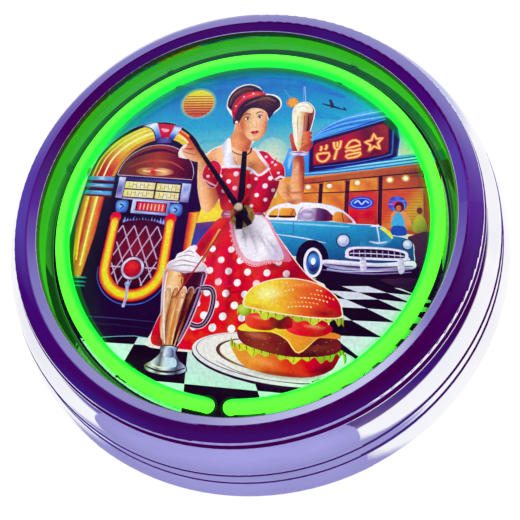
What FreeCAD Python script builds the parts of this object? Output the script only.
import FreeCAD, Part
import math
import os

# A round wall clock with a ring of neon behind its front glass and a chrome, stepped case.
# Millimetres. +Z is up and the dial faces -Y. Every part is drawn about the dial's own axis
# with the wall at y = 0, and is then lowered by HANGER_RISE, which puts the origin where the
# wall screw carries the clock. Angles run clockwise from 12 o'clock, seen from the front.

Vector = FreeCAD.Vector
BACKWARD = Vector(0, 1, 0)

# overall
CASE_R = 190.0
HANGER_RISE = 128.0

# chrome case: radius and depth of each step line
FRONT_Y = -51.0
LIP_R = 163.8
BAND1_R = 178.3
BAND1_Y = -30.0
BAND2_R = 182.4
BAND2_Y = -16.0
LEDGE = 0.9
LEDGE_EASE = 0.3
LEDGE_DEPTH = 1.6
LIP_ROUND = 0.8
SHELL = 2.3
RIM_FLAT = 0.9
# points of the case's section as (radius, y): where each curved band starts, swells and ends
BAND1_START = (163.3, -49.0)
BAND1_SWELL = (172.9, -40.6)
BAND2_SWELL = (180.3, -22.2)
RIM_START = (182.7, -14.6)
RIM_SWELL = (186.9, -7.6)
RIM_END = (189.7, -1.2)
BAND1_INSIDE = (169.4, -40.6)
LIP_INSIDE = (160.5, -46.6)
RIM_INNER_R = 184.3
SEAT_R = 180.5
SEAT_Y = -8.5
SEAT_WALL = 2.2
SEAT_ROOT_R = 183.1
SLEEVE_R = 150.5
SLEEVE_WALL = 2.0
DIAL_SEAT_Y = -25.5
BOSS_R = 4.0
BOSS_FRONT_Y = -24.0
COVER_BOSS_CIRCLE = 175.0
COVER_BOSS_ANGLE = 30.0
COVER_PILOT_Y = -22.0
RIB_THICK = 1.8
RIB_Y = (-20.0, -11.5)
RIB_REACH = (178.0, 179.8)
DIAL_BOSS_CIRCLE = 156.0
DIAL_BOSS_R = 3.4
DIAL_PILOT_Y = -34.5
OVERLAP = 1.0

# front bezel
BEZEL_INNER_R = 145.4
CREST_R = 151.2
CREST_Y = -58.0
BEZEL_OUTER_R = 161.4
BEZEL_WALL = 2.0
# points of the bezel's section as (radius, y)
BEZEL_EDGE_START = (145.4, -53.4)
BEZEL_EDGE_MIDDLE = (145.6, -54.0)
BEZEL_EDGE_END = (146.1, -54.5)
CREST_START = (150.3, -57.65)
CREST_END = (152.2, -57.88)
FACET_SWELL = (156.4, -57.25)
FACET_END = (160.2, -56.15)
BEZEL_RIM_MIDDLE = (161.1, -55.65)
BEZEL_RIM_END = (161.4, -54.7)
BEZEL_INSIDE = ((159.4, -53.8), (151.2, -55.7), (147.4, -52.2))
TAB_COUNT = 6
TAB_ANGLE = 15.0
TAB_START_Y = -54.2
TAB_END_Y = -44.0
TAB_SLOT_Y = -43.0
HOOK_Y = -45.4
HOOK_STEP = 0.2
TAB_R = 158.6
TAB_WIDTH = 11.0
TAB_THICK = 1.4
TAB_GAP = 0.3

# glass and the wall of the neon channel
LENS_R = 156.6
LENS_RECESS_R = 157.0
LENS_THICK = 2.0
SHELF_Y = -47.5
SHELF_WALL = 2.0
CHANNEL_FRONT_R = 149.0
CHANNEL_OUTER_R = 150.3
CHANNEL_LIP_R = 144.6
CHANNEL_LIP = 0.7
# the root of the channel wall, as radius and height above the dial
CHANNEL_ROOT = ((146.0, 0.9), (146.5, 1.1), (146.6, 1.7))

# dial
DIAL_R = 150.0
DIAL_THICK = 0.5
BACKING_R = 160.5
BACKING_THICK = 2.0
BACKING_REAR_Y = DIAL_SEAT_Y + BACKING_THICK
DIAL_FRONT_Y = DIAL_SEAT_Y - DIAL_THICK

# neon tube
TUBE_CIRCLE = 136.7
TUBE_R = 4.9
TUBE_Y = -31.5
LEG_X = 7.9
BEND_R = 5.4
TUBE_END_Y = -13.5
CLIP_ANGLES = (30, 75, 152, 208, 285, 330)
CLIP_WALL = 1.2
CLIP_WIDTH = 5.0
CLIP_MOUTH = 1.0
CLIP_STEM_R = 1.5
CLIP_HEAD_R = 2.4
CLIP_HEAD = 1.4
CLIP_GAP = 0.05
GROMMET_R = 7.0
GROMMET_HOLE_R = 6.2
GROMMET_BORE_R = 5.1
GROMMET_FLANGE = 0.5
ELECTRODE_BOOT_R = 6.4
ELECTRODE_BOOT_ROUND = 1.4
BOOT_GAP = 1.0
BOOT_END = 2.0
SPOUT_R = 2.2
SPOUT_LENGTH = 9.0

# rear cover
COVER_R = 184.0
COVER_THICK = 2.5
COVER_REAR_Y = SEAT_Y + COVER_THICK
SCREW_COUNT = 6
SCREW_R = 1.5
SCREW_HEAD_R = 3.1
SCREW_HEAD = 1.6
SCREW_HEAD_ROUND = 0.7
SCREW_CROSS = (3.8, 0.8)
SCREW_CLEARANCE = 0.2
DIAL_SCREW_LENGTH = 8.0
COVER_SCREW_LENGTH = 12.0
MOVEMENT_HOLE = 58.0
VENT_WIDTH = 3.0
VENT_LENGTH = 34.0
VENT_PITCH = 8.0
HANGER_WIDTH = 46.0
HANGER_HEIGHT = 40.0
HANGER_THICK = 1.2
KEYHOLE_R = 4.5
KEYHOLE_SLOT_R = 2.25
KEYHOLE_DROP = 11.0
BUMPER_R = 6.0
BUMPER_CIRCLE = 160.0
BUMPER_ROUND = 1.0
RIVET_R = 1.6
RIVET_HEAD_R = 2.9
RIVET_TAIL_R = 2.8
RIVET_HEAD = 1.2
RIVET_INSET = 5.0
HANGER_WINDOW = (16.0, 26.0)
HANGER_CORNER_R = 4.0
VENT_COLUMN_X = 95.0
VENT_ROWS = 5
SUPPLY_VENT_ROWS = 4
COVER_RIDGE = 0.8
COVER_RIDGE_R = (183.0, 181.0, 180.2)

# quartz movement
MOVEMENT_SIZE = 56.0
MOVEMENT_FRONT_Y = -22.5
MOVEMENT_SPLIT_Y = -12.0
MOVEMENT_REAR_Y = -6.5
MOVEMENT_WALL = 1.2
BAY_TOP_Z = -11.8
BAY_WALL = 1.0
BUSH_R = 5.0
BUSH_END_Y = -31.5
FIT = 0.07
CUSHION_SIZE = 30.0
BRIDGE_POST_R = 1.6
BRIDGE_X = (-24.0, 25.0)
BRIDGE_Z = (-9.8, 17.8)
WASHER_R = 9.2
WASHER_THICK = 0.8
NUT_POINT_R = 8.1
NUT_ROUND_R = 7.7
NUT_THICK = 2.6

# battery, AA
BATTERY_R = 7.15
BATTERY_LENGTH = 49.0
NUB_R = 2.7
NUB_LENGTH = 1.4
BATTERY_Z = -19.4
BATTERY_Y = -14.0
BATTERY_START_X = -24.1

# concentric arbors of the hands
HOUR_TUBE_R = 2.55
MINUTE_TUBE_R = 1.73
SECOND_ARBOR_R = 0.58
HOUR_TUBE_END_Y = -34.6
MINUTE_TUBE_END_Y = -38.4
SECOND_ARBOR_END_Y = -41.4

# gears: teeth, module
SETTING_DISTANCE = 12.0
SETTING_ANGLE = 70.0
THIRD_DISTANCE = 10.88
THIRD_ANGLE = 305.0
IDLER_DISTANCE = 7.7
IDLER_ANGLE = 30.0
ROTOR_RISE = 5.4
CANNON = (12, 0.5)
SETTING_WHEEL = (36, 0.5)
SETTING_PINION = (10, 0.48)
HOUR_WHEEL = (40, 0.48)
SECOND_PINION = (8, 0.32)
THIRD_WHEEL = (60, 0.32)
THIRD_PINION = (8, 0.3022)
CENTRE_WHEEL = (64, 0.3022)
SECOND_WHEEL = (60, 0.22)
IDLER_PINION = (10, 0.22)
IDLER_WHEEL = (30, 0.3)
ROTOR_PINION = (6, 0.3)
TOOTH_SHARE = 0.40
TIP_SHARE = 0.42
ADDENDUM = 0.85
DEDENDUM = 1.25
PIVOT_R = 0.45
ARBOR_R = 0.8

# layers of the train, front and rear
HOUR_LAYER = (-20.9, -19.7)
SETTING_LAYER = (-19.2, -18.0)
CENTRE_LAYER = (-17.4, -16.7)
BRIDGE_LAYER = (-16.2, -15.7)
THIRD_LAYER = (-15.3, -14.7)
SECOND_LAYER = (-13.6, -12.8)
IDLER_LAYER = (-11.9, -11.1)
STATOR_LAYER = (-14.3, -13.8)
FRONT_PIVOT_Y = -21.9
REAR_PIVOT_Y = -7.1
COLLAR_R = 2.4
COLLAR_GAP = 0.1
STEM_R = 1.5
STEM_START_Y = -7.8
KNOB_Y = (-6.2, -2.6)
KNOB_RIDGES = 24
KNOB_TIP_R = 6.4
KNOB_ROOT_R = 6.0
WINDOW_COUNT = 5
SETTING_WINDOW = (1.7, 5.2)
WHEEL_WINDOW = (1.8, 5.6)
MAGNET_R = 3.0
MAGNET_Y = (-15.0, -12.5)

# stepping motor and electronics
COIL_Z = 22.5
STATOR_LEFT = 11.5
STATOR_RIGHT = 12.5
STATOR_DROP = 4.3
STATOR_RISE = 1.5
STATOR_ARM = (3.2, 3.2)
ROTOR_HOLE_R = 3.4
STATOR_NOTCH = (-5.2, 2.0, 2.1)
COIL_OFFSET = 7.9
COIL_LENGTH = 16.6
BOBBIN_R = 2.3
WINDING_R = 3.0
FLANGE_R = 3.3
FLANGE_THICK = 0.7
CORE_HALF = (0.35, 1.6)
BOARD_X = (-26.4, -9.6)
BOARD_Y = (-12.0, -11.0)
BOARD_Z = (18.0, 26.4)
CRYSTAL_R = 1.0
CRYSTAL_LENGTH = 6.0
CRYSTAL_START = (-25.0, -13.0, 20.4)
CONTACT_Y = (-20.0, -8.4)
CONTACT_THICK = 0.4
CONTACT_WIDTH = 9.0
SPRING_REACH = 2.6
SPRING_WIDTH = 8.0

# hands: length, tail, width at the hub, width at the tip, angle at rest
HOUR_HAND = (50.0, 14.0, 5.6, 3.6, 357.5)
MINUTE_HAND = (76.2, 15.0, 4.6, 2.6, 323.4)
SECOND_HAND = (77.4, 24.0, 1.3, 0.8, 207.8)
HOUR_HAND_Y = (-34.4, -33.8)
MINUTE_HAND_Y = (-38.2, -37.6)
SECOND_HAND_Y = (-40.4, -40.0)
CAP_R = 3.0
CAP_FRONT_Y = -42.4
CAP_ROUND = 0.9
HOUR_HUB_R = 4.2
MINUTE_HUB_R = 3.4
SECOND_HUB_R = 1.3
HOUR_HUB_Y = -32.6
MINUTE_HUB_Y = -36.2
SECOND_HUB_Y = -39.0
TAIL_SHARE = 0.9
WEIGHT_HALF = 1.6
NECK_SHARE = (0.3, 0.42)

# neon power supply
SUPPLY_X = (42.0, 116.0)
SUPPLY_Z = (-112.0, -76.0)
SUPPLY_Y = (-23.5, -10.5)
SUPPLY_WALL = 1.4
SUPPLY_EARS = 7.4
EAR_THICK = 1.8
EAR_WIDTH = 10.0
SUPPLY_LID = 1.6
SUPPLY_LID_ROUND = 0.9
SUPPLY_BOARD_INSET = 4.0
SUPPLY_BOARD_RISE = 2.6
SUPPLY_BOARD_THICK = 1.4
SUPPLY_POST_R = 2.0
CORE_SIZE = (22.0, 20.0)
CORE_WINDOW = (15.0, 12.0)
CORE_DEPTH = 5.6
CORE_OFFSET = 24.0
CORE_WINDING_R = 2.7
CAPACITORS = ((90.0, -86.0, 2.6), (98.0, -86.0, 2.6), (92.0, -101.0, 2.2))
CAPACITOR_HEIGHT = 5.4
LEAD_HOLE_RISES = (7.0, 12.5, 23.5, 29.0)

# switch and inlet
SWITCH_X = -96.0
SWITCH_Z = -84.0
SWITCH_SIZE = (21.0, 15.0)
SWITCH_BODY = (18.6, 12.6)
SWITCH_PANEL_Y = -4.4
ROCKER_TILT = 10.0
SWITCH_DEPTH = 13.0
SWITCH_WELL = 7.0
SWITCH_WALL = 1.3
AXLE_DEPTH = 2.0
AXLE_R = 1.0
AXLE_GAP = 0.06
AXLE_END = 0.8
TAG_PLACES = (-5.0, 0.0, 5.0)
TAG_SIZE = (0.8, 2.6, 4.8)
ROCKER_WIDTH = 14.8
ROCKER_DEPTH = 9.4
INLET_X = -62.0
INLET_Z = -124.0
INLET_NUT_R = 7.0
INLET_THREAD_R = 4.0
INLET_BORE_R = 2.85
INLET_BODY_R = 5.6
INLET_BODY_DEPTH = 12.0
INLET_THREAD = (3.0, 3.4)
INLET_BORE_DEPTH = 7.0
INLET_PIN_R = 1.0
INLET_PIN_END = 2.2
INLET_NUT = 1.9
WIRE_R = 1.1
LEAD_Y = -16.5


def save(solids, name):
    """Write one node, moved so that the wall screw is at the origin."""
    shape = solids[0] if len(solids) == 1 else Part.makeCompound(solids)
    shape.translate(Vector(0, 0, -HANGER_RISE))
    shape.exportStep("parts/" + name + ".step")


def polar(radius, degrees, centre=(0.0, 0.0)):
    angle = math.radians(degrees)
    return centre[0] + radius * math.sin(angle), centre[1] + radius * math.cos(angle)


def cylinder(radius, front, rear, x=0.0, z=0.0):
    return Part.makeCylinder(radius, rear - front, Vector(x, front, z), BACKWARD)


def pipe(outer, inner, front, rear, x=0.0, z=0.0):
    return cylinder(outer, front, rear, x, z).cut(cylinder(inner, front, rear, x, z))


def block(x_range, y_range, z_range):
    corner = Vector(x_range[0], y_range[0], z_range[0])
    return Part.makeBox(x_range[1] - x_range[0], y_range[1] - y_range[0], z_range[1] - z_range[0], corner)


def centred(middle, size):
    return middle - size / 2, middle + size / 2


def spun(shape, degrees, x=0.0, z=0.0):
    """A copy turned clockwise about an axis parallel to the dial's."""
    copy = shape.copy()
    copy.rotate(Vector(x, 0, z), BACKWARD, degrees)
    return copy


def around(shape, count, first=0.0):
    return [spun(shape, first + index * 360.0 / count) for index in range(count)]


def fused(shapes):
    return shapes[0].multiFuse(shapes[1:]).removeSplitter().Solids[0]


def turned(start, *steps):
    """Solid of revolution about the dial axis. A step is a (radius, y) point, or an arc's two."""
    edges = []
    here = Vector(start[0], start[1], 0)
    for step in steps + (start,):
        if isinstance(step[0], tuple):
            middle, end = [Vector(r, y, 0) for r, y in step]
            edges.append(Part.Arc(here, middle, end).toShape())
        else:
            end = Vector(step[0], step[1], 0)
            edges.append(Part.makeLine(here, end))
        here = end
    solid = Part.Face(Part.Wire(edges)).revolve(Vector(0, 0, 0), BACKWARD, 360)
    return Part.Solid(solid.Shells[0])


def plate(points, y_range):
    """A flat piece cut to an outline of (x, z) points."""
    corners = [Vector(x, y_range[0], z) for x, z in points]
    face = Part.Face(Part.makePolygon(corners + corners[:1]))
    return face.extrude(Vector(0, y_range[1] - y_range[0], 0))


def gear(size, phase, y_range, centre=(0.0, 0.0)):
    """A spur gear with one tooth centred at the phase angle."""
    teeth, module = size
    pitch_r = teeth * module / 2
    half = 360.0 / teeth * TOOTH_SHARE / 2
    root_r = pitch_r - DEDENDUM * module
    tip_r = pitch_r + ADDENDUM * module
    points = []
    for tooth in range(teeth):
        middle = phase + tooth * 360.0 / teeth
        points.append(polar(root_r, middle - half, centre))
        points.append(polar(pitch_r, middle - half, centre))
        points.append(polar(tip_r, middle - half * TIP_SHARE, centre))
        points.append(polar(tip_r, middle + half * TIP_SHARE, centre))
        points.append(polar(pitch_r, middle + half, centre))
        points.append(polar(root_r, middle + half, centre))
    return plate(points, y_range)


def in_mesh(driver, driven, direction):
    """Phases that put a tooth of the first gear in a gap of the second."""
    return direction, direction + 180.0 + 180.0 / driven[0]


def lightened(wheel, window, y_range, centre):
    """A wheel with a ring of round windows of a given radius and circle."""
    hole_r, circle = window
    for index in range(WINDOW_COUNT):
        x, z = polar(circle, index * 360.0 / WINDOW_COUNT, centre)
        wheel = wheel.cut(cylinder(hole_r, y_range[0], y_range[1], x, z))
    return wheel


def wire_tube(points, radius):
    """A round wire along straight runs joined by tangent arcs, each as large as its runs allow."""
    corners = [Vector(*point) for point in points]
    edges = []
    here = corners[0]
    for before, corner, after in zip(corners, corners[1:], corners[2:]):
        arrive = (corner - before).normalize()
        leave = (after - corner).normalize()
        half_turn = arrive.getAngle(leave) / 2
        setback = 0.45 * min((corner - before).Length, (after - corner).Length)
        bend = setback / math.tan(half_turn)
        start = corner - arrive * setback
        end = corner + leave * setback
        inward = (leave - arrive).normalize()
        middle = corner + inward * (bend / math.cos(half_turn) - bend)
        if (start - here).Length > 0.01:
            edges.append(Part.makeLine(here, start))
        edges.append(Part.Arc(start, middle, end).toShape())
        here = end
    edges.append(Part.makeLine(here, corners[-1]))
    path = Part.Wire(edges)
    section = Part.Wire(Part.makeCircle(radius, corners[0], corners[1] - corners[0]))
    return path.makePipeShell([section], True, False)


# ---------------------------------------------------------------- case and front

def make_case():
    outer = turned(
        (LENS_RECESS_R, FRONT_Y),
        (LIP_R - LIP_ROUND, FRONT_Y),
        ((LIP_R - 0.3 * LIP_ROUND, FRONT_Y + 0.3 * LIP_ROUND), (LIP_R, FRONT_Y + LIP_ROUND)),
        (LIP_R, FRONT_Y + 2 * LIP_ROUND),
        BAND1_START,
        (BAND1_SWELL, (BAND1_R - LEDGE, BAND1_Y)),
        (BAND1_R, BAND1_Y + LEDGE_EASE),
        (BAND1_R, BAND1_Y + LEDGE_DEPTH),
        (BAND2_SWELL, (BAND2_R - LEDGE, BAND2_Y)),
        (BAND2_R, BAND2_Y + LEDGE_EASE),
        RIM_START,
        (RIM_SWELL, RIM_END),
        (CASE_R, -RIM_FLAT),
        (CASE_R, 0.0),
        (RIM_INNER_R, 0.0),
        (RIM_INNER_R, SEAT_Y),
        (SEAT_R, SEAT_Y),
        (SEAT_R, SEAT_Y - SEAT_WALL),
        (SEAT_ROOT_R, SEAT_Y - SEAT_WALL),
        (BAND2_R - SHELL, BAND2_Y),
        (BAND1_R - SHELL, BAND1_Y + LEDGE),
        BAND1_INSIDE,
        LIP_INSIDE,
        (SLEEVE_R + SLEEVE_WALL, SHELF_Y + SHELF_WALL),
        (SLEEVE_R + SLEEVE_WALL, DIAL_SEAT_Y),
        (SLEEVE_R, DIAL_SEAT_Y),
        (SLEEVE_R, SHELF_Y),
        (LENS_RECESS_R, SHELF_Y),
    )
    slot_size = TAB_THICK + 2 * TAB_GAP
    slot = block(
        centred(0, TAB_WIDTH + 2 * TAB_GAP),
        (FRONT_Y - OVERLAP, TAB_SLOT_Y),
        (TAB_R - TAB_GAP, TAB_R - TAB_GAP + slot_size),
    )
    tall_boss = cylinder(BOSS_R, BOSS_FRONT_Y, SEAT_Y, 0, COVER_BOSS_CIRCLE)
    rib = block(centred(0, RIB_THICK), RIB_Y, RIB_REACH)
    low_boss = cylinder(DIAL_BOSS_R, SHELF_Y + OVERLAP, DIAL_SEAT_Y, 0, DIAL_BOSS_CIRCLE)
    solids = [outer]
    solids += around(tall_boss, SCREW_COUNT, COVER_BOSS_ANGLE)
    solids += around(rib, SCREW_COUNT, COVER_BOSS_ANGLE)
    solids += around(low_boss, SCREW_COUNT)
    case = fused(solids)
    cover_pilot = cylinder(SCREW_R, COVER_PILOT_Y, SEAT_Y, 0, COVER_BOSS_CIRCLE)
    dial_pilot = cylinder(SCREW_R, DIAL_PILOT_Y, DIAL_SEAT_Y, 0, DIAL_BOSS_CIRCLE)
    holes = around(cover_pilot, SCREW_COUNT, COVER_BOSS_ANGLE)
    holes += around(dial_pilot, SCREW_COUNT)
    holes += around(slot, TAB_COUNT, TAB_ANGLE)
    for hole in holes:
        case = case.cut(hole)
    save([case.Solids[0]], "stepped_case")


def make_bezel():
    foot_y = SHELF_Y - LENS_THICK
    ring = turned(
        (BEZEL_INNER_R, foot_y),
        BEZEL_EDGE_START,
        (BEZEL_EDGE_MIDDLE, BEZEL_EDGE_END),
        CREST_START,
        ((CREST_R, CREST_Y), CREST_END),
        (FACET_SWELL, FACET_END),
        (BEZEL_RIM_MIDDLE, BEZEL_RIM_END),
        (BEZEL_OUTER_R, FRONT_Y),
        (BEZEL_OUTER_R - BEZEL_WALL, FRONT_Y),
        *BEZEL_INSIDE,
        (BEZEL_INNER_R + BEZEL_WALL, foot_y),
    )
    tab = block(centred(0, TAB_WIDTH), (TAB_START_Y, TAB_END_Y), (TAB_R, TAB_R + TAB_THICK))
    hook = block(centred(0, TAB_WIDTH), (HOOK_Y, TAB_END_Y), (TAB_R, TAB_R + TAB_THICK + HOOK_STEP))
    solids = [ring] + around(tab, TAB_COUNT, TAB_ANGLE) + around(hook, TAB_COUNT, TAB_ANGLE)
    save([fused(solids)], "front_bezel")


def make_lens():
    save([cylinder(LENS_R, SHELF_Y - LENS_THICK, SHELF_Y)], "front_lens")


def make_channel_wall():
    root = [(radius, DIAL_FRONT_Y - height) for radius, height in CHANNEL_ROOT]
    wall = turned(
        (CHANNEL_FRONT_R, SHELF_Y),
        (CHANNEL_OUTER_R, SHELF_Y),
        (CHANNEL_OUTER_R, DIAL_FRONT_Y),
        (CHANNEL_LIP_R, DIAL_FRONT_Y),
        (CHANNEL_LIP_R, DIAL_FRONT_Y - CHANNEL_LIP),
        root[0],
        (root[1], root[2]),
    )
    save([wall], "channel_wall")


# ---------------------------------------------------------------- dial

def make_dial():
    sheet = cylinder(DIAL_R, DIAL_FRONT_Y, DIAL_SEAT_Y)
    backing = cylinder(BACKING_R, DIAL_SEAT_Y, BACKING_REAR_Y)
    bush_hole = cylinder(BUSH_R + SCREW_CLEARANCE, DIAL_FRONT_Y, BACKING_REAR_Y)
    sheet = sheet.cut(bush_hole)
    backing = backing.cut(bush_hole)
    for x, z in leg_places():
        leg_hole = cylinder(GROMMET_HOLE_R, DIAL_FRONT_Y, BACKING_REAR_Y, x, z)
        sheet = sheet.cut(leg_hole)
        backing = backing.cut(leg_hole)
    for degrees in CLIP_ANGLES:
        x, z = polar(TUBE_CIRCLE, degrees)
        stem_hole = cylinder(CLIP_STEM_R + 2 * CLIP_GAP, DIAL_FRONT_Y, BACKING_REAR_Y, x, z)
        sheet = sheet.cut(stem_hole)
        backing = backing.cut(stem_hole)
    screw_hole = cylinder(SCREW_R + SCREW_CLEARANCE, DIAL_SEAT_Y, BACKING_REAR_Y, 0, DIAL_BOSS_CIRCLE)
    for hole in around(screw_hole, SCREW_COUNT):
        backing = backing.cut(hole)
    for x in supply_screw_places():
        hole = cylinder(SCREW_R, DIAL_SEAT_Y, BACKING_REAR_Y, x, sum(SUPPLY_Z) / 2)
        backing = backing.cut(hole)
    save([sheet], "printed_dial")
    save([backing], "dial_backing")


def screw(front, head_front, x=0.0, z=0.0):
    """A pan head screw whose tip is at the front end and whose head stands at the rear."""
    shank = cylinder(SCREW_R, front, head_front, x, z)
    head = cylinder(SCREW_HEAD_R, head_front, head_front + SCREW_HEAD, x, z)
    head = head.makeFillet(SCREW_HEAD_ROUND, [head.Edges[0]])
    slot_y = (head_front + SCREW_HEAD / 2, head_front + SCREW_HEAD)
    length, width = SCREW_CROSS
    cross = block(centred(x, length), slot_y, centred(z, width))
    cross = cross.fuse(block(centred(x, width), slot_y, centred(z, length)))
    return fused([shank, head]).cut(cross).Solids[0]


def make_dial_screws():
    one = screw(DIAL_SEAT_Y - DIAL_SCREW_LENGTH, BACKING_REAR_Y, 0, DIAL_BOSS_CIRCLE)
    save(around(one, SCREW_COUNT), "dial_screws")


# ---------------------------------------------------------------- neon ring

def swept_circle(radius, centre, normal, pivot, axis, degrees):
    disc = Part.Face(Part.Wire(Part.makeCircle(radius, centre, normal)))
    return disc.revolve(pivot, axis, degrees)


def make_tube():
    end_x = LEG_X + BEND_R
    end_angle = math.degrees(math.asin(end_x / TUBE_CIRCLE))
    end_z = -TUBE_CIRCLE * math.cos(math.radians(end_angle))
    pieces = []
    start = Vector(end_x, TUBE_Y, end_z)
    along = Vector(end_z, 0, -end_x)
    sweep = 360 - 2 * end_angle
    pieces.append(swept_circle(TUBE_R, start, along, Vector(0, 0, 0), BACKWARD, -sweep))
    for side in (-1, 1):
        joint = Vector(side * end_x, TUBE_Y, end_z)
        pivot = Vector(side * end_x, TUBE_Y + BEND_R, end_z)
        tangent = Vector(-side * math.cos(math.radians(end_angle)), 0, -math.sin(math.radians(end_angle)))
        axis = tangent.cross(BACKWARD)
        pieces.append(swept_circle(TUBE_R, joint, tangent, pivot, axis, 90))
        foot = pivot + tangent * BEND_R
        leg = Part.makeCylinder(TUBE_R, TUBE_END_Y - foot.y, foot, BACKWARD)
        pieces.append(leg)
    save([fused(pieces)], "neon_tube")


def leg_places():
    end_angle = math.asin((LEG_X + BEND_R) / TUBE_CIRCLE)
    end_z = -TUBE_CIRCLE * math.cos(end_angle)
    reach = BEND_R * math.cos(end_angle)
    drop = BEND_R * math.sin(end_angle)
    return [(side * (LEG_X + BEND_R - reach), end_z - drop) for side in (-1, 1)]


def make_tube_fittings():
    grommets = []
    boots = []
    front = DIAL_FRONT_Y - GROMMET_FLANGE
    rear = BACKING_REAR_Y + GROMMET_FLANGE
    for x, z in leg_places():
        body = pipe(GROMMET_HOLE_R, GROMMET_BORE_R, front, rear, x, z)
        front_flange = pipe(GROMMET_R, GROMMET_BORE_R, front, DIAL_FRONT_Y, x, z)
        rear_flange = pipe(GROMMET_R, GROMMET_BORE_R, BACKING_REAR_Y, rear, x, z)
        grommets.append(fused([body, front_flange, rear_flange]))
        sleeve = cylinder(ELECTRODE_BOOT_R, BACKING_REAR_Y + BOOT_GAP, TUBE_END_Y + BOOT_END, x, z)
        sleeve = sleeve.makeFillet(ELECTRODE_BOOT_ROUND, [sleeve.Edges[0]])
        spout = Part.makeCylinder(SPOUT_R, SPOUT_LENGTH, Vector(x, LEAD_Y, z), Vector(0, 0, 1))
        boot = fused([sleeve, spout]).cut(cylinder(TUBE_R, BACKING_REAR_Y + BOOT_GAP, TUBE_END_Y, x, z))
        boots.append(boot.Solids[0])
    save(grommets, "tube_grommets")
    save(boots, "electrode_boots")


def make_clips():
    """Spring clips: a split collar on a stem pushed through the dial."""
    sideways = Vector(1, 0, 0)
    clips = []
    for degrees in CLIP_ANGLES:
        collar_start = Vector(-CLIP_WIDTH / 2, TUBE_Y, TUBE_CIRCLE)
        collar = Part.makeCylinder(TUBE_R + CLIP_WALL, CLIP_WIDTH, collar_start, sideways)
        bore_start = Vector(-CLIP_WIDTH, TUBE_Y, TUBE_CIRCLE)
        bore = Part.makeCylinder(TUBE_R + CLIP_GAP, 2 * CLIP_WIDTH, bore_start, sideways)
        room = (centred(0, 2 * CLIP_WIDTH), centred(TUBE_CIRCLE, 4 * TUBE_R))
        mouth = block(room[0], (TUBE_Y - 2 * TUBE_R, TUBE_Y - CLIP_MOUTH), room[1])
        flat = block(room[0], (DIAL_FRONT_Y, BACKING_REAR_Y), room[1])
        stem = cylinder(CLIP_STEM_R, DIAL_FRONT_Y - 8 * CLIP_GAP, BACKING_REAR_Y + CLIP_HEAD, 0, TUBE_CIRCLE)
        head = cylinder(CLIP_HEAD_R, BACKING_REAR_Y, BACKING_REAR_Y + CLIP_HEAD, 0, TUBE_CIRCLE)
        clip = fused([collar.cut(bore).cut(mouth).cut(flat), stem, head]).cut(bore)
        clips.append(spun(clip.Solids[0], degrees))
    save(clips, "tube_clips")


# ---------------------------------------------------------------- rear cover and hanger

def keyhole_cut(y_range):
    entry = cylinder(KEYHOLE_R, y_range[0], y_range[1], 0, HANGER_RISE - KEYHOLE_DROP)
    neck = block((-KEYHOLE_SLOT_R, KEYHOLE_SLOT_R), y_range, (HANGER_RISE - KEYHOLE_DROP, HANGER_RISE))
    top = cylinder(KEYHOLE_SLOT_R, y_range[0], y_range[1], 0, HANGER_RISE)
    return entry.fuse(neck).fuse(top)


def make_cover():
    thick = (SEAT_Y, COVER_REAR_Y)
    cover = cylinder(COVER_R, thick[0], thick[1])
    raised = turned(
        (COVER_RIDGE_R[0], COVER_REAR_Y - FIT),
        (COVER_RIDGE_R[0], COVER_REAR_Y + COVER_RIDGE),
        (COVER_RIDGE_R[1], COVER_REAR_Y + COVER_RIDGE),
        (COVER_RIDGE_R[2], COVER_REAR_Y - FIT),
    )
    cover = fused([cover, raised])
    hole_span = centred(0, MOVEMENT_HOLE)
    cuts = [block(hole_span, thick, hole_span)]
    switch_x = centred(SWITCH_X, SWITCH_BODY[0] + SCREW_CLEARANCE)
    cuts.append(block(switch_x, thick, centred(SWITCH_Z, SWITCH_BODY[1] + SCREW_CLEARANCE)))
    cuts.append(cylinder(INLET_THREAD_R + FIT, thick[0], thick[1], INLET_X, INLET_Z))
    hanger_middle = HANGER_RISE - KEYHOLE_DROP / 2
    cuts.append(block(centred(0, HANGER_WINDOW[0]), thick, centred(hanger_middle, HANGER_WINDOW[1])))
    screw_hole = cylinder(SCREW_R + SCREW_CLEARANCE, thick[0], thick[1], 0, COVER_BOSS_CIRCLE)
    cuts += around(screw_hole, SCREW_COUNT, COVER_BOSS_ANGLE)
    for x in rivet_places():
        cuts.append(cylinder(RIVET_R, thick[0], thick[1], x, hanger_middle))
    for side in (-1, 1):
        for row in range(VENT_ROWS):
            z = (row - (VENT_ROWS - 1) / 2) * VENT_PITCH
            cuts.append(block(centred(side * VENT_COLUMN_X, VENT_LENGTH), thick, centred(z, VENT_WIDTH)))
    for row in range(SUPPLY_VENT_ROWS):
        z = sum(SUPPLY_Z) / 2 + (row - (SUPPLY_VENT_ROWS - 1) / 2) * VENT_PITCH
        cuts.append(block(centred(sum(SUPPLY_X) / 2, VENT_LENGTH), thick, centred(z, VENT_WIDTH)))
    for cut in cuts:
        cover = cover.cut(cut)
    save([cover.Solids[0]], "back_cover")


def rivet_places():
    return RIVET_INSET - HANGER_WIDTH / 2, HANGER_WIDTH / 2 - RIVET_INSET


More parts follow.
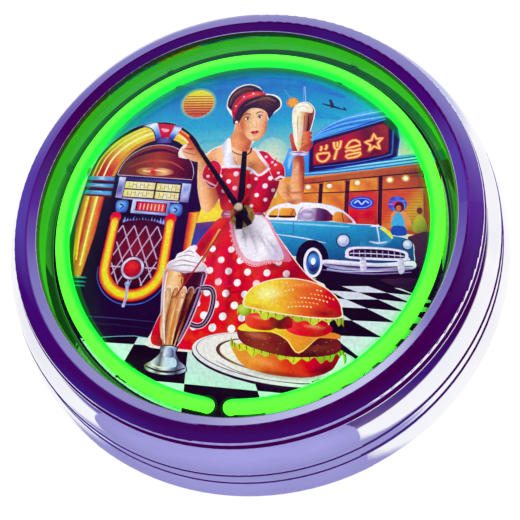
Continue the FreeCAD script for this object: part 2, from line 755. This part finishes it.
def make_cover_fittings():
    one = screw(SEAT_Y - COVER_SCREW_LENGTH, COVER_REAR_Y, 0, COVER_BOSS_CIRCLE)
    save(around(one, SCREW_COUNT, COVER_BOSS_ANGLE), "cover_screws")
    middle = HANGER_RISE - KEYHOLE_DROP / 2
    y_range = (COVER_REAR_Y, COVER_REAR_Y + HANGER_THICK)
    hanger = block(centred(0, HANGER_WIDTH), y_range, centred(middle, HANGER_HEIGHT))
    corners = [edge for edge in hanger.Edges if edge.Length < HANGER_THICK + FIT]
    hanger = hanger.makeFillet(HANGER_CORNER_R, corners)
    hanger = hanger.cut(keyhole_cut(y_range))
    rivets = []
    for x in rivet_places():
        hanger = hanger.cut(cylinder(RIVET_R, y_range[0], y_range[1], x, middle))
        shank = cylinder(RIVET_R, SEAT_Y - RIVET_HEAD, y_range[1] + RIVET_HEAD, x, middle)
        tail = cylinder(RIVET_TAIL_R, SEAT_Y - RIVET_HEAD, SEAT_Y, x, middle)
        head = cylinder(RIVET_HEAD_R, y_range[1], y_range[1] + RIVET_HEAD, x, middle)
        head = head.makeFillet(SCREW_HEAD_ROUND, [head.Edges[0]])
        rivets.append(fused([shank, tail, head]))
    save([hanger.Solids[0]], "hanger_plate")
    save(rivets, "hanger_rivets")
    bumper = cylinder(BUMPER_R, COVER_REAR_Y, 0.0, 0, BUMPER_CIRCLE)
    bumper = bumper.makeFillet(BUMPER_ROUND, [bumper.Edges[0]])
    save(around(bumper, 4, 45), "wall_bumpers")


# ---------------------------------------------------------------- switch, inlet, supply, leads

def make_switch():
    flange = block(
        centred(SWITCH_X, SWITCH_SIZE[0]), (COVER_REAR_Y, SWITCH_PANEL_Y), centred(SWITCH_Z, SWITCH_SIZE[1])
    )
    shell = block(
        centred(SWITCH_X, SWITCH_BODY[0]),
        (COVER_REAR_Y - SWITCH_DEPTH, COVER_REAR_Y),
        centred(SWITCH_Z, SWITCH_BODY[1]),
    )
    body = fused([flange, shell])
    well = block(
        centred(SWITCH_X, SWITCH_BODY[0] - 2 * SWITCH_WALL),
        (COVER_REAR_Y - SWITCH_WELL, SWITCH_PANEL_Y),
        centred(SWITCH_Z, SWITCH_BODY[1] - 2 * SWITCH_WALL),
    )
    axle_y = SWITCH_PANEL_Y - AXLE_DEPTH
    hole_start, hole_end = centred(SWITCH_Z, SWITCH_BODY[1] - SWITCH_WALL)
    axle_hole = Part.makeCylinder(
        AXLE_R + AXLE_GAP, hole_end - hole_start, Vector(SWITCH_X, axle_y, hole_start), Vector(0, 0, 1)
    )
    body = body.cut(well).cut(axle_hole)
    tags = []
    tag_end_y = COVER_REAR_Y - SWITCH_DEPTH
    for x in TAG_PLACES:
        tag_y = (tag_end_y - TAG_SIZE[1], tag_end_y)
        tags.append(block(centred(SWITCH_X + x, TAG_SIZE[0]), tag_y, centred(SWITCH_Z, TAG_SIZE[2])))
    save([body.Solids[0]] + tags, "switch_body")
    half = ROCKER_WIDTH / 2
    outline = [
        (SWITCH_X - half, axle_y + 2.9),
        (SWITCH_X, axle_y + 1.8),
        (SWITCH_X + half, axle_y + 2.9),
        (SWITCH_X + half - 0.9, axle_y - 0.2),
        (SWITCH_X + 2.0, axle_y - 1.6),
        (SWITCH_X - 2.0, axle_y - 1.6),
        (SWITCH_X - half + 0.9, axle_y - 0.2),
    ]
    low_z = SWITCH_Z - ROCKER_DEPTH / 2
    corners = [Vector(x, y, low_z) for x, y in outline]
    rocker = Part.Face(Part.makePolygon(corners + corners[:1])).extrude(Vector(0, 0, ROCKER_DEPTH))
    axle_start = Vector(SWITCH_X, axle_y, low_z - AXLE_END)
    axle = Part.makeCylinder(AXLE_R, ROCKER_DEPTH + 2 * AXLE_END, axle_start, Vector(0, 0, 1))
    rocker = fused([rocker, axle])
    rocker.rotate(Vector(SWITCH_X, axle_y, SWITCH_Z), Vector(0, 0, 1), -ROCKER_TILT)
    save([rocker], "switch_rocker")


def make_inlet():
    mouth_y = COVER_REAR_Y + INLET_THREAD[1]
    bore_y = COVER_REAR_Y - INLET_BORE_DEPTH
    barrel = cylinder(INLET_THREAD_R, COVER_REAR_Y - INLET_THREAD[0], mouth_y, INLET_X, INLET_Z)
    body = cylinder(INLET_BODY_R, COVER_REAR_Y - INLET_BODY_DEPTH, SEAT_Y, INLET_X, INLET_Z)
    socket = fused([barrel, body])
    socket = socket.cut(cylinder(INLET_BORE_R, bore_y, mouth_y, INLET_X, INLET_Z))
    pin = cylinder(INLET_PIN_R, bore_y, COVER_REAR_Y + INLET_PIN_END, INLET_X, INLET_Z)
    pin = pin.makeFillet(INLET_PIN_R * 0.4, [pin.Edges[0]])
    hexagon = [polar(INLET_NUT_R, 30 + 60 * index, (INLET_X, INLET_Z)) for index in range(6)]
    nut = plate(hexagon, (COVER_REAR_Y, COVER_REAR_Y + INLET_NUT))
    nut = nut.cut(cylinder(INLET_THREAD_R, COVER_REAR_Y, COVER_REAR_Y + INLET_NUT, INLET_X, INLET_Z))
    save([socket.Solids[0]], "dc_inlet")
    save([pin], "dc_inlet_pin")
    save([nut], "dc_inlet_nut")


def supply_screw_places():
    return SUPPLY_X[0] - SUPPLY_EARS / 2, SUPPLY_X[1] + SUPPLY_EARS / 2


def make_supply():
    lid_y = SUPPLY_Y[1] - SUPPLY_LID
    ear_y = (SUPPLY_Y[0], SUPPLY_Y[0] + EAR_THICK)
    tub = block(SUPPLY_X, (SUPPLY_Y[0], lid_y), SUPPLY_Z)
    room = block(
        (SUPPLY_X[0] + SUPPLY_WALL, SUPPLY_X[1] - SUPPLY_WALL),
        (SUPPLY_Y[0] + SUPPLY_WALL, lid_y),
        (SUPPLY_Z[0] + SUPPLY_WALL, SUPPLY_Z[1] - SUPPLY_WALL),
    )
    ear_x = (SUPPLY_X[0] - SUPPLY_EARS, SUPPLY_X[1] + SUPPLY_EARS)
    middle_z = sum(SUPPLY_Z) / 2
    ears = block(ear_x, ear_y, centred(middle_z, EAR_WIDTH))
    tub = fused([tub, ears]).cut(room)
    for x in supply_screw_places():
        tub = tub.cut(cylinder(SCREW_R, ear_y[0], ear_y[1], x, middle_z))
    for z in lead_holes():
        hole_start = Vector(SUPPLY_X[0] - SUPPLY_WALL, LEAD_Y, z)
        tub = tub.cut(Part.makeCylinder(WIRE_R, 3 * SUPPLY_WALL, hole_start, Vector(1, 0, 0)))
    save([tub.Solids[0]], "supply_case")
    lid = block(SUPPLY_X, (lid_y, SUPPLY_Y[1]), SUPPLY_Z)
    rim_edges = [edge for edge in lid.Edges if edge.BoundBox.YMin > SUPPLY_Y[1] - FIT]
    save([lid.makeFillet(SUPPLY_LID_ROUND, rim_edges)], "supply_lid")
    screws = [screw(DIAL_SEAT_Y, ear_y[1], x, middle_z) for x in supply_screw_places()]
    save(screws, "supply_screws")
    board_x = (SUPPLY_X[0] + SUPPLY_BOARD_INSET, SUPPLY_X[1] - SUPPLY_BOARD_INSET)
    board_z = (SUPPLY_Z[0] + SUPPLY_BOARD_INSET, SUPPLY_Z[1] - SUPPLY_BOARD_INSET)
    board_front_y = SUPPLY_Y[0] + SUPPLY_BOARD_RISE
    board_y = (board_front_y, board_front_y + SUPPLY_BOARD_THICK)
    board = block(board_x, board_y, board_z)
    posts = []
    for x in (board_x[0] + SUPPLY_BOARD_INSET, board_x[1] - SUPPLY_BOARD_INSET):
        posts.append(cylinder(SUPPLY_POST_R, SUPPLY_Y[0] + SUPPLY_WALL, board_y[0], x, middle_z))
    save([fused([board] + posts)], "supply_board")
    coil_x = SUPPLY_X[0] + CORE_OFFSET
    core_y = (board_y[1], board_y[1] + CORE_DEPTH)
    core = block(centred(coil_x, CORE_SIZE[0]), core_y, centred(middle_z, CORE_SIZE[1]))
    winding_start = Vector(coil_x - CORE_WINDOW[0] / 2, sum(core_y) / 2, middle_z)
    winding = Part.makeCylinder(CORE_WINDING_R, CORE_WINDOW[0], winding_start, Vector(1, 0, 0))
    window = block(centred(coil_x, CORE_WINDOW[0]), core_y, centred(middle_z, CORE_WINDOW[1]))
    save([core.cut(window).Solids[0]], "transformer_core")
    save([winding], "transformer_winding")
    cans = []
    for x, z, radius in CAPACITORS:
        cans.append(cylinder(radius, board_y[1], board_y[1] + CAPACITOR_HEIGHT, x, z))
    save(cans, "supply_capacitors")


def lead_holes():
    """Heights at which the four leads pass the power supply's left wall."""
    return [SUPPLY_Z[0] + rise for rise in LEAD_HOLE_RISES]


def make_leads():
    left, right = leg_places()
    wall_x = SUPPLY_X[0] + SUPPLY_WALL + OVERLAP
    holes = lead_holes()
    y = LEAD_Y
    inlet_tag_y = COVER_REAR_Y - INLET_BODY_DEPTH
    inlet_tags = (INLET_X - INLET_BORE_R, INLET_X + INLET_BORE_R)
    switch_tag_y = COVER_REAR_Y - SWITCH_DEPTH - TAG_SIZE[1] / 2
    routes = {
        "tube_lead_right": [
            (right[0], y, right[1] + SPOUT_LENGTH),
            (right[0], y, right[1] + 22),
            (right[0] + 12, y, holes[0]),
            (wall_x, y, holes[0]),
        ],
        "tube_lead_left": [
            (left[0], y, left[1] + SPOUT_LENGTH),
            (left[0], y, left[1] + 24),
            (left[0] + 9, y, left[1] + 38),
            (left[0] + 27, y, holes[1]),
            (wall_x, y, holes[1]),
        ],
        "inlet_lead": [
            (inlet_tags[1], inlet_tag_y, INLET_Z),
            (inlet_tags[1], y - 4.0, INLET_Z),
            (INLET_X + 6, y - 4.0, INLET_Z + 9),
            (INLET_X + 24, y - 2.0, INLET_Z + 28),
            (INLET_X + 52, y, INLET_Z + 34),
            (10, y, holes[2] + 2),
            (26, y, holes[2]),
            (wall_x, y, holes[2]),
        ],
        "switch_lead": [
            (SWITCH_X + 5.6, switch_tag_y, SWITCH_Z),
            (SWITCH_X + 17, switch_tag_y + 0.4, SWITCH_Z + 1),
            (SWITCH_X + 36, y, SWITCH_Z + 6),
            (SWITCH_X + 64, y, SWITCH_Z + 5),
            (-6, y, holes[3] + 4),
            (20, y, holes[3]),
            (wall_x, y, holes[3]),
        ],
        "link_lead": [
            (inlet_tags[0], inlet_tag_y, INLET_Z),
            (inlet_tags[0], switch_tag_y, INLET_Z),
            (INLET_X - 7, switch_tag_y, INLET_Z + 8),
            (SWITCH_X + 8, switch_tag_y, SWITCH_Z - 14),
            (SWITCH_X, switch_tag_y, SWITCH_Z - 9),
            (SWITCH_X, switch_tag_y, SWITCH_Z - 2.4),
        ],
    }
    for name, points in routes.items():
        save([wire_tube(points, WIRE_R)], name)


# ---------------------------------------------------------------- movement

def setting_arbor():
    return polar(SETTING_DISTANCE, SETTING_ANGLE)


def third_arbor():
    return polar(THIRD_DISTANCE, THIRD_ANGLE)


def idler_arbor():
    return polar(IDLER_DISTANCE, IDLER_ANGLE)


def rotor_arbor():
    x, z = idler_arbor()
    return x, z + ROTOR_RISE


def make_movement_case():
    setting = setting_arbor()
    third = third_arbor()
    span = centred(0, MOVEMENT_SIZE)
    inner = centred(0, MOVEMENT_SIZE - 2 * MOVEMENT_WALL)
    front_inner_y = MOVEMENT_FRONT_Y + MOVEMENT_WALL
    shell = block(span, (MOVEMENT_FRONT_Y, MOVEMENT_SPLIT_Y), span)
    upper = block(inner, (front_inner_y, MOVEMENT_SPLIT_Y), (BAY_TOP_Z + BAY_WALL, inner[1]))
    lower = block(inner, (front_inner_y, MOVEMENT_SPLIT_Y), (inner[0], BAY_TOP_Z))
    bush = cylinder(BUSH_R, BUSH_END_Y, MOVEMENT_FRONT_Y)
    front = fused([shell.cut(upper).cut(lower), bush])
    front = front.cut(cylinder(HOUR_TUBE_R + FIT, BUSH_END_Y, front_inner_y))
    for x, z in (setting, third):
        front = front.cut(cylinder(PIVOT_R + FIT, FRONT_PIVOT_Y - FIT, front_inner_y, x, z))
    posts = []
    for x, z in bridge_posts():
        posts.append(cylinder(BRIDGE_POST_R, front_inner_y - FIT, BRIDGE_LAYER[0], x, z))
    front = fused([front] + posts)
    save([front], "movement_front_case")
    rear_inner_y = MOVEMENT_REAR_Y - MOVEMENT_WALL
    lid = block(span, (MOVEMENT_SPLIT_Y, MOVEMENT_REAR_Y), span)
    upper = block(inner, (MOVEMENT_SPLIT_Y, rear_inner_y), (BAY_TOP_Z + BAY_WALL, inner[1]))
    lower = block(inner, (MOVEMENT_SPLIT_Y, MOVEMENT_REAR_Y), (inner[0], BAY_TOP_Z))
    lid = lid.cut(upper).cut(lower)
    for x, z in (third, idler_arbor(), rotor_arbor(), (0.0, 0.0)):
        lid = lid.cut(cylinder(PIVOT_R + FIT, rear_inner_y, REAR_PIVOT_Y + FIT, x, z))
    lid = lid.cut(cylinder(STEM_R + FIT, rear_inner_y, MOVEMENT_REAR_Y, setting[0], setting[1]))
    save([lid.Solids[0]], "movement_rear_case")


def bridge_posts():
    return [(-21.0, 13.0), (-21.0, -7.6), (22.6, 13.6), (22.6, -6.6)]


def make_bridge():
    bridge = block(BRIDGE_X, BRIDGE_LAYER, BRIDGE_Z)
    holes = [((0.0, 0.0), MINUTE_TUBE_R + ARBOR_R)]
    holes.append((third_arbor(), 2 * ARBOR_R))
    holes.append((setting_arbor(), 2 * ARBOR_R))
    holes.append((idler_arbor(), PIVOT_R + FIT))
    holes.append((rotor_arbor(), PIVOT_R + FIT))
    for centre, radius in holes:
        bridge = bridge.cut(cylinder(radius, BRIDGE_LAYER[0], BRIDGE_LAYER[1], centre[0], centre[1]))
    save([bridge.Solids[0]], "train_bridge")


def make_setting_train():
    """Cannon pinion with the minute tube, setting wheel and hour wheel."""
    setting = setting_arbor()
    cannon_phase, wheel_phase = in_mesh(CANNON, SETTING_WHEEL, SETTING_ANGLE)
    pinion_phase, hour_phase = in_mesh(SETTING_PINION, HOUR_WHEEL, SETTING_ANGLE + 180)
    cannon = gear(CANNON, cannon_phase, SETTING_LAYER)
    sleeve = cylinder(MINUTE_TUBE_R, MINUTE_TUBE_END_Y, CENTRE_LAYER[0])
    collar = cylinder(COLLAR_R, SETTING_LAYER[1], CENTRE_LAYER[0] - COLLAR_GAP)
    cannon = fused([cannon, sleeve, collar])
    bore = cylinder(SECOND_ARBOR_R + FIT, MINUTE_TUBE_END_Y, CENTRE_LAYER[0])
    save([cannon.cut(bore).Solids[0]], "cannon_pinion")
    hour = gear(HOUR_WHEEL, hour_phase, HOUR_LAYER)
    hour = fused([hour, cylinder(HOUR_TUBE_R, HOUR_TUBE_END_Y, HOUR_LAYER[1])])
    hour = hour.cut(cylinder(MINUTE_TUBE_R + FIT, HOUR_TUBE_END_Y, HOUR_LAYER[1]))
    save([hour.Solids[0]], "hour_wheel")
    wheel = gear(SETTING_WHEEL, wheel_phase, SETTING_LAYER, setting)
    wheel = lightened(wheel, SETTING_WINDOW, SETTING_LAYER, setting)
    pinion = gear(SETTING_PINION, pinion_phase, (HOUR_LAYER[0], SETTING_LAYER[0]), setting)
    arbor = cylinder(ARBOR_R, SETTING_LAYER[1], STEM_START_Y, setting[0], setting[1])
    stem = cylinder(STEM_R, STEM_START_Y, KNOB_Y[0], setting[0], setting[1])
    pivot = cylinder(PIVOT_R, FRONT_PIVOT_Y, HOUR_LAYER[0], setting[0], setting[1])
    save([fused([wheel, pinion, arbor, stem, pivot])], "setting_wheel")
    pitch = 360.0 / KNOB_RIDGES
    knob_points = []
    for index in range(KNOB_RIDGES):
        middle = index * pitch
        knob_points.append(polar(KNOB_TIP_R, middle - pitch / 4, setting))
        knob_points.append(polar(KNOB_TIP_R, middle + pitch / 4, setting))
        knob_points.append(polar(KNOB_ROOT_R, middle + pitch / 2, setting))
    knob = plate(knob_points, KNOB_Y)
    save([knob], "setting_knob")


def make_running_train():
    """Stepping rotor, intermediate wheel, seconds wheel, third wheel and centre wheel."""
    third = third_arbor()
    idler = idler_arbor()
    rotor = rotor_arbor()
    second_pinion_phase, third_phase = in_mesh(SECOND_PINION, THIRD_WHEEL, THIRD_ANGLE)
    third_pinion_phase, centre_phase = in_mesh(THIRD_PINION, CENTRE_WHEEL, THIRD_ANGLE + 180)
    idler_pinion_phase, second_phase = in_mesh(IDLER_PINION, SECOND_WHEEL, IDLER_ANGLE + 180)
    rotor_phase, idler_phase = in_mesh(ROTOR_PINION, IDLER_WHEEL, 180)

    centre = gear(CENTRE_WHEEL, centre_phase, CENTRE_LAYER)
    centre = lightened(centre, WHEEL_WINDOW, CENTRE_LAYER, (0.0, 0.0))
    centre = centre.cut(cylinder(SECOND_ARBOR_R + FIT, CENTRE_LAYER[0], CENTRE_LAYER[1]))
    save([centre.Solids[0]], "centre_wheel")

    wheel = gear(THIRD_WHEEL, third_phase, THIRD_LAYER, third)
    wheel = lightened(wheel, WHEEL_WINDOW, THIRD_LAYER, third)
    pinion = gear(THIRD_PINION, third_pinion_phase, (CENTRE_LAYER[0] - 0.2, CENTRE_LAYER[1] + 0.2), third)
    middle_arbor = cylinder(ARBOR_R, CENTRE_LAYER[1], REAR_PIVOT_Y - 1.0, third[0], third[1])
    pivots = cylinder(PIVOT_R, FRONT_PIVOT_Y, REAR_PIVOT_Y, third[0], third[1])
    save([fused([wheel, pinion, middle_arbor, pivots])], "third_wheel")

    wheel = gear(SECOND_WHEEL, second_phase, SECOND_LAYER)
    pinion = gear(SECOND_PINION, second_pinion_phase, (THIRD_LAYER[0] - 0.2, SECOND_LAYER[0]))
    front_arbor = cylinder(SECOND_ARBOR_R, SECOND_ARBOR_END_Y, THIRD_LAYER[0])
    rear_arbor = cylinder(ARBOR_R, SECOND_LAYER[1], REAR_PIVOT_Y - 1.0)
    pivot = cylinder(PIVOT_R, REAR_PIVOT_Y - 1.0, REAR_PIVOT_Y)
    save([fused([wheel, pinion, front_arbor, rear_arbor, pivot])], "seconds_wheel")

    wheel = gear(IDLER_WHEEL, idler_phase, IDLER_LAYER, idler)
    pinion = gear(IDLER_PINION, idler_pinion_phase, (SECOND_LAYER[0] - 0.1, IDLER_LAYER[0]), idler)
    pivots = cylinder(PIVOT_R, BRIDGE_LAYER[0], REAR_PIVOT_Y, idler[0], idler[1])
    save([fused([wheel, pinion, pivots])], "intermediate_wheel")

    pinion = gear(ROTOR_PINION, rotor_phase, (IDLER_LAYER[0] - 0.1, IDLER_LAYER[1] + 0.1), rotor)
    magnet = cylinder(MAGNET_R, MAGNET_Y[0], MAGNET_Y[1], rotor[0], rotor[1])
    pivots = cylinder(PIVOT_R, BRIDGE_LAYER[0], REAR_PIVOT_Y, rotor[0], rotor[1])
    save([fused([magnet, pinion, pivots])], "rotor")


def make_motor():
    idler = idler_arbor()
    rotor = rotor_arbor()
    left_x = rotor[0] - STATOR_LEFT
    right_x = rotor[0] + STATOR_RIGHT
    stator = block((left_x, right_x), STATOR_LAYER, (rotor[1] - STATOR_DROP, COIL_Z + STATOR_RISE))
    window_x = (left_x + STATOR_ARM[0], right_x - STATOR_ARM[1])
    window = block(window_x, STATOR_LAYER, (rotor[1] + 2 * WINDING_R, COIL_Z - STATOR_RISE))
    notch_x, notch_z, notch_r = STATOR_NOTCH
    stator = stator.cut(window)
    stator = stator.cut(cylinder(ROTOR_HOLE_R, STATOR_LAYER[0], STATOR_LAYER[1], rotor[0], rotor[1]))
    stator = stator.cut(
        cylinder(notch_r, STATOR_LAYER[0], STATOR_LAYER[1], idler[0] + notch_x, idler[1] + notch_z)
    )
    save([stator.Solids[0]], "stator")
    mid_y = sum(STATOR_LAYER) / 2
    start_x = rotor[0] - COIL_OFFSET

    def drum(radius, offset, length):
        return Part.makeCylinder(radius, length, Vector(start_x + offset, mid_y, COIL_Z), Vector(1, 0, 0))

    bobbin = fused([
        drum(BOBBIN_R, 0.0, COIL_LENGTH),
        drum(FLANGE_R, 0.0, FLANGE_THICK),
        drum(FLANGE_R, COIL_LENGTH - FLANGE_THICK, FLANGE_THICK),
    ])
    core_hole = block(
        (start_x - OVERLAP, start_x + COIL_LENGTH + OVERLAP),
        (mid_y - CORE_HALF[0], mid_y + CORE_HALF[0]),
        (COIL_Z - CORE_HALF[1], COIL_Z + CORE_HALF[1]),
    )
    save([bobbin.cut(core_hole).Solids[0]], "coil_bobbin")
    winding = drum(WINDING_R, FLANGE_THICK, COIL_LENGTH - 2 * FLANGE_THICK)
    save([winding.cut(drum(BOBBIN_R, 0.0, COIL_LENGTH)).Solids[0]], "coil_winding")


def make_movement_electronics():
    save([block(BOARD_X, BOARD_Y, BOARD_Z)], "movement_board")
    crystal = Part.makeCylinder(CRYSTAL_R, CRYSTAL_LENGTH, Vector(*CRYSTAL_START), Vector(1, 0, 0))
    save([crystal], "quartz_crystal")
    can_start = Vector(BATTERY_START_X, BATTERY_Y, BATTERY_Z)
    can_end = Vector(BATTERY_START_X + BATTERY_LENGTH, BATTERY_Y, BATTERY_Z)
    can = Part.makeCylinder(BATTERY_R, BATTERY_LENGTH, can_start, Vector(1, 0, 0))
    can = can.makeFillet(0.6, [can.Edges[0], can.Edges[2]])
    nub = Part.makeCylinder(NUB_R, NUB_LENGTH, can_end, Vector(1, 0, 0))
    save([fused([can, nub])], "aa_battery")
    wall_x = MOVEMENT_SIZE / 2 - MOVEMENT_WALL
    plus = block((wall_x - CONTACT_THICK, wall_x), CONTACT_Y, centred(BATTERY_Z, CONTACT_WIDTH))
    save([plus], "battery_contact_plus")
    spring_points = [
        (-wall_x, CONTACT_Y[0]),
        (-wall_x + CONTACT_THICK, CONTACT_Y[0]),
        (-wall_x + SPRING_REACH, BATTERY_Y),
        (-wall_x + CONTACT_THICK, CONTACT_Y[1]),
        (-wall_x, CONTACT_Y[1]),
        (-wall_x + SPRING_REACH - CONTACT_THICK, BATTERY_Y),
    ]
    corners = [Vector(x, y, BATTERY_Z - SPRING_WIDTH / 2) for x, y in spring_points]
    spring = Part.Face(Part.makePolygon(corners + corners[:1])).extrude(Vector(0, 0, SPRING_WIDTH))
    save([spring], "battery_contact_minus")


# ---------------------------------------------------------------- hands and dial nut

def hand_outline(hand):
    length, tail, hub_width, tip_width = hand[:4]
    return [
        (-tip_width / 2, length),
        (tip_width / 2, length),
        (hub_width / 2, 0.0),
        (hub_width / 2 * TAIL_SHARE, -tail),
        (-hub_width / 2 * TAIL_SHARE, -tail),
        (-hub_width / 2, 0.0),
    ]


def make_hand(name, hand, y_range, hub_r, bore_r, collet_rear):
    blade = plate(hand_outline(hand), y_range)
    hub = cylinder(hub_r, y_range[0], collet_rear)
    solid = fused([blade, hub]).cut(cylinder(bore_r, y_range[0] - OVERLAP, collet_rear + OVERLAP))
    save([spun(solid.Solids[0], hand[4])], name)


def make_hands():
    make_hand("hour_hand", HOUR_HAND, HOUR_HAND_Y, HOUR_HUB_R, HOUR_TUBE_R, HOUR_HUB_Y)
    make_hand("minute_hand", MINUTE_HAND, MINUTE_HAND_Y, MINUTE_HUB_R, MINUTE_TUBE_R, MINUTE_HUB_Y)
    length, tail, hub_width, tip_width, degrees = SECOND_HAND
    outline = [
        (-tip_width / 2, length),
        (tip_width / 2, length),
        (hub_width / 2, 0.0),
        (hub_width / 2, -tail * NECK_SHARE[0]),
        (WEIGHT_HALF, -tail * NECK_SHARE[1]),
        (WEIGHT_HALF, -tail),
        (-WEIGHT_HALF, -tail),
        (-WEIGHT_HALF, -tail * NECK_SHARE[1]),
        (-hub_width / 2, -tail * NECK_SHARE[0]),
        (-hub_width / 2, 0.0),
    ]
    blade = plate(outline, SECOND_HAND_Y)
    collet = cylinder(SECOND_HUB_R, SECOND_HAND_Y[0], SECOND_HUB_Y)
    bore = cylinder(SECOND_ARBOR_R, SECOND_HAND_Y[0] - FIT, SECOND_HUB_Y + OVERLAP)
    solid = fused([blade, collet]).cut(bore)
    save([spun(solid.Solids[0], degrees)], "second_hand")
    cap = cylinder(CAP_R, CAP_FRONT_Y, SECOND_HAND_Y[0])
    cap = cap.makeFillet(CAP_ROUND, [cap.Edges[2]])
    cap = cap.cut(cylinder(SECOND_ARBOR_R, SECOND_ARBOR_END_Y, SECOND_HAND_Y[0]))
    save([cap.Solids[0]], "centre_cap")


def make_dial_nut():
    washer_front = DIAL_FRONT_Y - WASHER_THICK
    washer = pipe(WASHER_R, BUSH_R, washer_front, DIAL_FRONT_Y)
    hexagon = [polar(NUT_POINT_R, 60 * index) for index in range(6)]
    nut_y = (washer_front - NUT_THICK, washer_front)
    nut = plate(hexagon, nut_y).common(cylinder(NUT_ROUND_R, nut_y[0], nut_y[1]))
    nut = nut.cut(cylinder(BUSH_R, nut_y[0], nut_y[1]))
    save([washer], "dial_washer")
    save([nut.Solids[0]], "dial_nut")
    side = centred(0, CUSHION_SIZE)
    cushion = block(side, (BACKING_REAR_Y, MOVEMENT_FRONT_Y), side)
    cushion = cushion.cut(cylinder(BUSH_R, BACKING_REAR_Y, MOVEMENT_FRONT_Y))
    save([cushion.Solids[0]], "movement_cushion")


os.makedirs("parts", exist_ok=True)
make_case()
make_bezel()
make_lens()
make_channel_wall()
make_dial()
make_dial_screws()
make_tube()
make_tube_fittings()
make_clips()
make_cover()
make_cover_fittings()
make_switch()
make_inlet()
make_supply()
make_leads()
make_movement_case()
make_bridge()
make_setting_train()
make_running_train()
make_motor()
make_movement_electronics()
make_hands()
make_dial_nut()
